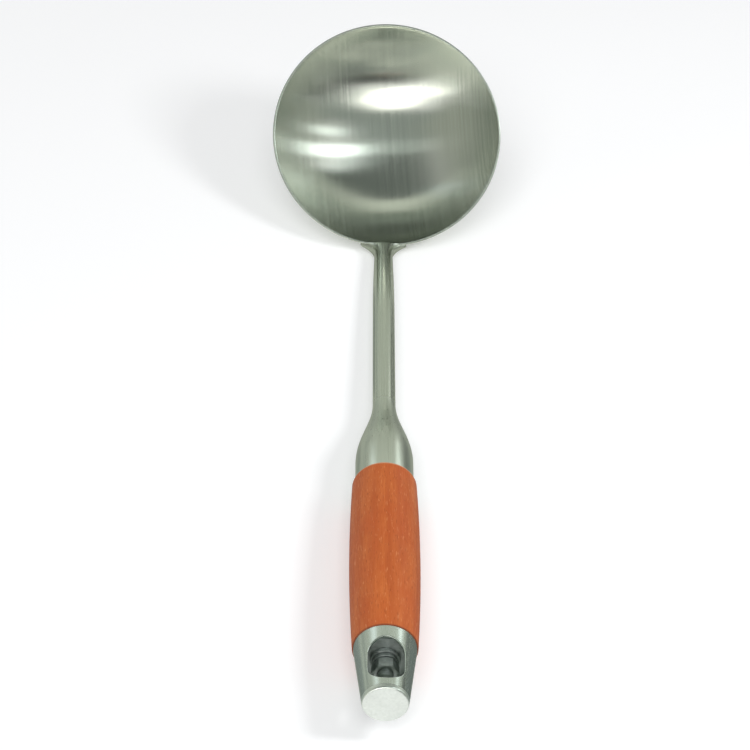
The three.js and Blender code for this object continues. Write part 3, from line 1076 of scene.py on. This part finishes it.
WARM = (1.0, 0.99, 0.93)
COOL = (0.92, 1.0, 1.0)
WHITE = (1.0, 1.0, 1.0)
OLIVE = (0.97, 1.025, 0.9)
TEAL = (0.93, 1.04, 0.98)
NEAR_SLEEVE = (0, -0.06, 0.02)
NEAR_GRIP = (0, -0.12, 0.02)
NEAR_CAP = (0, -0.19, 0.02)
# Lamps: azimuth, elevation, distance, (width, height), power, tint, roll, aim, mirrored
softbox("key", 71, 46, 1.6, (1.2, 0.26), 2.9, COOL, -40)
softbox("key_glow", 82, 55, 1.7, (1.1, 0.32), 0.9, COOL, -40)
softbox("key_low", 66, 29, 1.6, (0.7, 0.18), 0.75, COOL, -40)
softbox("key_tail", 97, 23, 1.6, (0.5, 0.26), 0.75, COOL, -40)
softbox("front", -7, 16, 1.8, (1.0, 0.58), 5.4, WARM, 12)
softbox("front_wide", -15, 11, 1.9, (3.1, 0.2), 3.9, WARM, 16)
softbox("rear_strip", 148, 21, 0.55, (0.05, 0.12), 0.027, WHITE, 0, NEAR_SLEEVE)
softbox("shadow_side", 80, 47, 0.75, (0.2, 0.2), 2.35, WHITE, 0, NEAR_GRIP, False)
softbox("left_fill", -85, 18, 1.0, (0.5, 0.3), 1.3, WHITE, 0, NEAR_GRIP, False)
softbox("camera_side", -12, 50, 9.0, (6.3, 6.3), 445.0, WHITE, 0, NEAR_BOWL, False)
# Cards: azimuth, elevation, distance, (width, height), grey, tint, roll, aim
card("card_front", 0, 40, 2.6, (4.6, 1.35), 0.36, TEAL)
card("card_high", 0, 60, 2.6, (3.6, 0.6), 0.5, TEAL)
card("card_ceiling", 0, 90, 2.15, (3.4, 1.86), 0.19, TEAL, 0, (0, 0.14, 0.05))
card("card_left", -90, 22, 2.0, (3.6, 1.8), 0.46, OLIVE)
card("card_right_front", 46, 8, 1.9, (1.3, 1.2), 0.36, TEAL)
card("card_right", 95, 15, 2.2, (2.4, 1.6), 0.5, OLIVE)
card("card_right_high", 116, 46, 2.0, (0.85, 0.54), 0.08, TEAL)
card("card_behind", 180, 0, 0.9, (5.0, 4.4), 0.6, OLIVE)
card("card_arc", 180, 61, 0.85, (2.6, 0.21), 0.85, OLIVE)
card("card_low_right", 119, 0, 0.8, (0.61, 0.3), 0.12, TEAL)
card("card_low_left", -128, 0, 0.8, (0.8, 0.12), 0.35, TEAL)
card("card_horizon", 20, 0, 1.3, (2.2, 0.14), 0.04, TEAL)
card("card_horizon_right", 54, 0, 1.2, (0.5, 0.17), 0.04, TEAL)
card("card_table", 0, 90, 0.0008, (1.6, 0.85), 0.68, OLIVE, 0, (0, 0.125, 0))
card("card_table_far", 0, 90, 0.001, (1.5, 1.1), 0.04, TEAL, 0, (0.45, -0.85, 0))
card("card_table_side", 0, 90, 0.0011, (0.9, 0.6), 0.08, TEAL, 0, (0.75, -0.3, 0))
card("card_table_right", 0, 90, 0.0011, (0.23, 0.34), 0.2, TEAL, 0, (0.19, 0.25, 0))
card("card_table_front", 0, 90, 0.0012, (0.3, 0.28), 0.22, TEAL, 0, (0.2, -0.08, 0))
card("card_cap_left", -143, 32, 1.2, (0.28, 0.42), 1.45, COOL, 0, NEAR_CAP)
card("card_cap_right", 140.5, 26, 1.2, (0.28, 0.22), 2.4, COOL, 0, NEAR_CAP)
# Painted shade: these dark cards on the floor beside the handle stand for the floor's shadow there, as the
# steel and the wood mirror it
card("card_grip_right", 0, 90, 0.0014, (0.08, 0.14), 0.3, TEAL, 0, (0.06, -0.13, 0))
card("card_grip_left", 0, 90, 0.0014, (0.08, 0.14), 0.4, TEAL, 0, (-0.06, -0.13, 0))
card("card_neck_right", 0, 90, 0.0014, (0.014, 0.08), 0.12, TEAL, 0, (0.027, 0.06, 0))
card("card_neck_left", 0, 90, 0.0014, (0.018, 0.08), 0.35, TEAL, 0, (-0.022, 0.06, 0))
card("card_sleeve_left", 0, 90, 0.0014, (0.028, 0.055), 0.3, TEAL, 0, (-0.046, -0.03, 0))
card("card_butt", 0, 90, 0.0013, (0.1, 0.1), 1.1, WHITE, 0, (0, -0.255, 0))

CAMERA_AZIMUTH, CAMERA_ELEVATION, CAMERA_ROLL = -1.873, 39.106, 3.175
CAMERA_DISTANCE = 1.16951
CAMERA_AIM = Vector((-0.00487, -0.00772, 0.02729))
CAMERA_LENS = 123.23
SENSOR_WIDTH = 36.0
back = outward(CAMERA_AZIMUTH, CAMERA_ELEVATION)
roll = Matrix.Rotation(math.radians(CAMERA_ROLL), 3, "Z").to_quaternion()
lens = bpy.data.cameras.new("camera")
lens.lens = CAMERA_LENS
lens.sensor_width = SENSOR_WIDTH
camera = bpy.data.objects.new("camera", lens)
scene.collection.objects.link(camera)
camera.rotation_mode = "QUATERNION"
camera.rotation_quaternion = (-back).to_track_quat("-Z", "Y") @ roll
camera.location = CAMERA_AIM + back * CAMERA_DISTANCE
scene.camera = camera
scene.view_settings.view_transform = "Standard"
